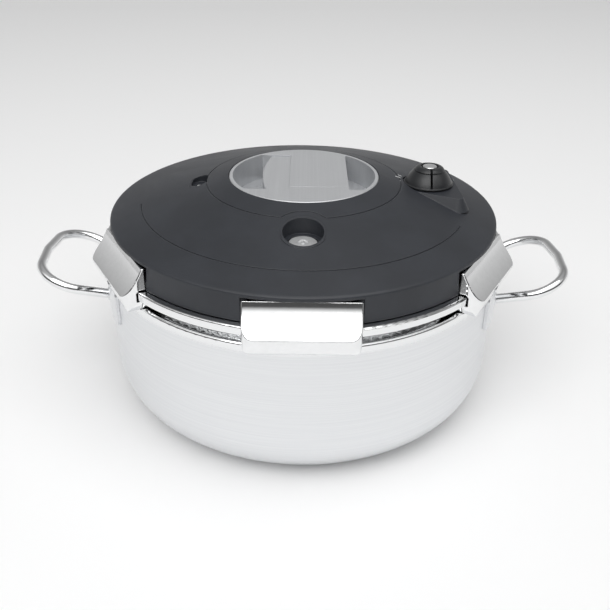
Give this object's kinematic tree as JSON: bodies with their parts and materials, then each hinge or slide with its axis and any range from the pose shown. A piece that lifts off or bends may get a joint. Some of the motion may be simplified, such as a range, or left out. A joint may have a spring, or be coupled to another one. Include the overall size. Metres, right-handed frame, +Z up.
{
  "type": "stovetop pressure cooker",
  "caption": "Low stovetop pressure cooker: steel pot with loop handles, domed black lid with a squeeze grip that draws sliding jaws round the rim, steam knob, safety valve and indicator.",
  "frame": {"origin": "centre of the underside of the pot, where it stands on the hob", "axes": "+Z up; +X towards the handle beside the steam knob; -Y towards the front, where the safety valve's well is"},
  "size_m": [0.3358, 0.2572, 0.1473],
  "materials": {
    "satin_steel": "satin, finely brushed round the pot",
    "polished_steel": "bright polished steel",
    "aluminium_core": "plain pressed",
    "black_cover": "fine matte texture, charcoal black",
    "silver_grip": "satin silver",
    "pressed_steel": "mill finish",
    "zinc_steel": "plated",
    "spring_steel": "drawn wire",
    "grey_silicone": "soft matte",
    "black_knob": "satin black"
  },
  "bodies": {
    "pot": {"pot_body": "satin_steel", "base_core": "aluminium_core", "base_cap": "satin_steel", "left_handle_loop": "polished_steel", "right_handle_loop": "polished_steel", "left_handle_plate": "satin_steel", "right_handle_plate": "satin_steel"},
    "lid": {"lid_cover": "black_cover", "lid_pan": "pressed_steel", "gasket": "grey_silicone", "grip_insert": "silver_grip", "ring_hub": "zinc_steel", "jaw_guides": "zinc_steel", "guide_rivets": "zinc_steel", "cover_screws": "zinc_steel", "insert_screws": "zinc_steel", "trigger_springs": "spring_steel", "safety_spring": "spring_steel", "button_spring": "spring_steel", "safety_valve_body": "polished_steel", "safety_valve_seal": "grey_silicone", "safety_valve_nut": "zinc_steel", "knob_valve_body": "pressed_steel", "knob_valve_seal": "grey_silicone", "knob_valve_nut": "zinc_steel", "indicator_bush": "pressed_steel", "indicator_seal": "grey_silicone", "indicator_nut": "zinc_steel"},
    "trigger": {"trigger": "silver_grip"},
    "sync_ring": {"sync_ring": "zinc_steel"},
    "steam_knob": {"steam_knob": "black_knob"},
    "steam_button": {"steam_button": "polished_steel"},
    "safety_plunger": {"safety_plunger": "polished_steel"},
    "indicator_pin": {"indicator_pin": "polished_steel"},
    "jaw_1": {"jaw_1": "polished_steel", "jaw_arm_1": "pressed_steel", "follower_pin_1": "zinc_steel", "jaw_rivets_1": "zinc_steel"},
    "jaw_2": {"jaw_2": "polished_steel", "jaw_arm_2": "pressed_steel", "follower_pin_2": "zinc_steel", "jaw_rivets_2": "zinc_steel"},
    "jaw_3": {"jaw_3": "polished_steel", "jaw_arm_3": "pressed_steel", "follower_pin_3": "zinc_steel", "jaw_rivets_3": "zinc_steel"},
    "jaw_4": {"jaw_4": "polished_steel", "jaw_arm_4": "pressed_steel", "follower_pin_4": "zinc_steel", "jaw_rivets_4": "zinc_steel"},
    "jaw_5": {"jaw_5": "polished_steel", "jaw_arm_5": "pressed_steel", "follower_pin_5": "zinc_steel", "jaw_rivets_5": "zinc_steel"},
    "jaw_6": {"jaw_6": "polished_steel", "jaw_arm_6": "pressed_steel", "follower_pin_6": "zinc_steel", "jaw_rivets_6": "zinc_steel"}
  },
  "joints": [
    {"name": "lid_turn", "type": "hinge", "parent": "pot", "child": "lid", "pos_m": [0, 0, 0.106], "axis": [0, 0, 1], "continuous": true},
    {"name": "grip_squeeze", "type": "slide", "parent": "lid", "child": "trigger", "axis": [1, 0, 0], "range_m": [0, 0.008], "stiffness_N_per_m": 1500, "springref_m": -0.004, "deforming": ["trigger_springs"]},
    {"name": "ring_turn", "type": "hinge", "parent": "lid", "child": "sync_ring", "pos_m": [0, 0, 0.114], "axis": [0, 0, 1], "range_deg": [0, 15.14]},
    {"name": "jaw_1_slide", "type": "slide", "parent": "lid", "child": "jaw_1", "axis": [0, -1, 0], "range_m": [0, 0.007]},
    {"name": "jaw_2_slide", "type": "slide", "parent": "lid", "child": "jaw_2", "axis": [0.866, -0.5, 0], "range_m": [0, 0.007]},
    {"name": "jaw_3_slide", "type": "slide", "parent": "lid", "child": "jaw_3", "axis": [0.866, 0.5, 0], "range_m": [0, 0.007]},
    {"name": "jaw_4_slide", "type": "slide", "parent": "lid", "child": "jaw_4", "axis": [0, 1, 0], "range_m": [0, 0.007]},
    {"name": "jaw_5_slide", "type": "slide", "parent": "lid", "child": "jaw_5", "axis": [-0.866, 0.5, 0], "range_m": [0, 0.007]},
    {"name": "jaw_6_slide", "type": "slide", "parent": "lid", "child": "jaw_6", "axis": [-0.866, -0.5, 0], "range_m": [0, 0.007]},
    {"name": "knob_turn", "type": "hinge", "parent": "lid", "child": "steam_knob", "pos_m": [0.07729, 0.00405, 0.14], "axis": [0, 0, 1], "range_deg": [-90, 90]},
    {"name": "button_rise", "type": "slide", "parent": "lid", "child": "steam_button", "axis": [0, 0, 1], "range_m": [0, 0.002], "stiffness_N_per_m": 400, "springref_m": -0.001, "deforming": ["button_spring"]},
    {"name": "safety_lift", "type": "slide", "parent": "lid", "child": "safety_plunger", "axis": [0, 0, 1], "range_m": [0, 0.002], "stiffness_N_per_m": 1500, "springref_m": -0.002, "deforming": ["safety_spring"]},
    {"name": "indicator_rise", "type": "slide", "parent": "lid", "child": "indicator_pin", "axis": [0, 0, 1], "range_m": [0, 0.003]}
  ],
  "couplings": [
    {"joint": "ring_turn", "follows": "grip_squeeze", "rad_per_m": 33.039},
    {"joint": "jaw_1_slide", "follows": "grip_squeeze", "ratio": 0.875},
    {"joint": "jaw_2_slide", "follows": "grip_squeeze", "ratio": 0.875},
    {"joint": "jaw_3_slide", "follows": "grip_squeeze", "ratio": 0.875},
    {"joint": "jaw_4_slide", "follows": "grip_squeeze", "ratio": 0.875},
    {"joint": "jaw_5_slide", "follows": "grip_squeeze", "ratio": 0.875},
    {"joint": "jaw_6_slide", "follows": "grip_squeeze", "ratio": 0.875}
  ]
}
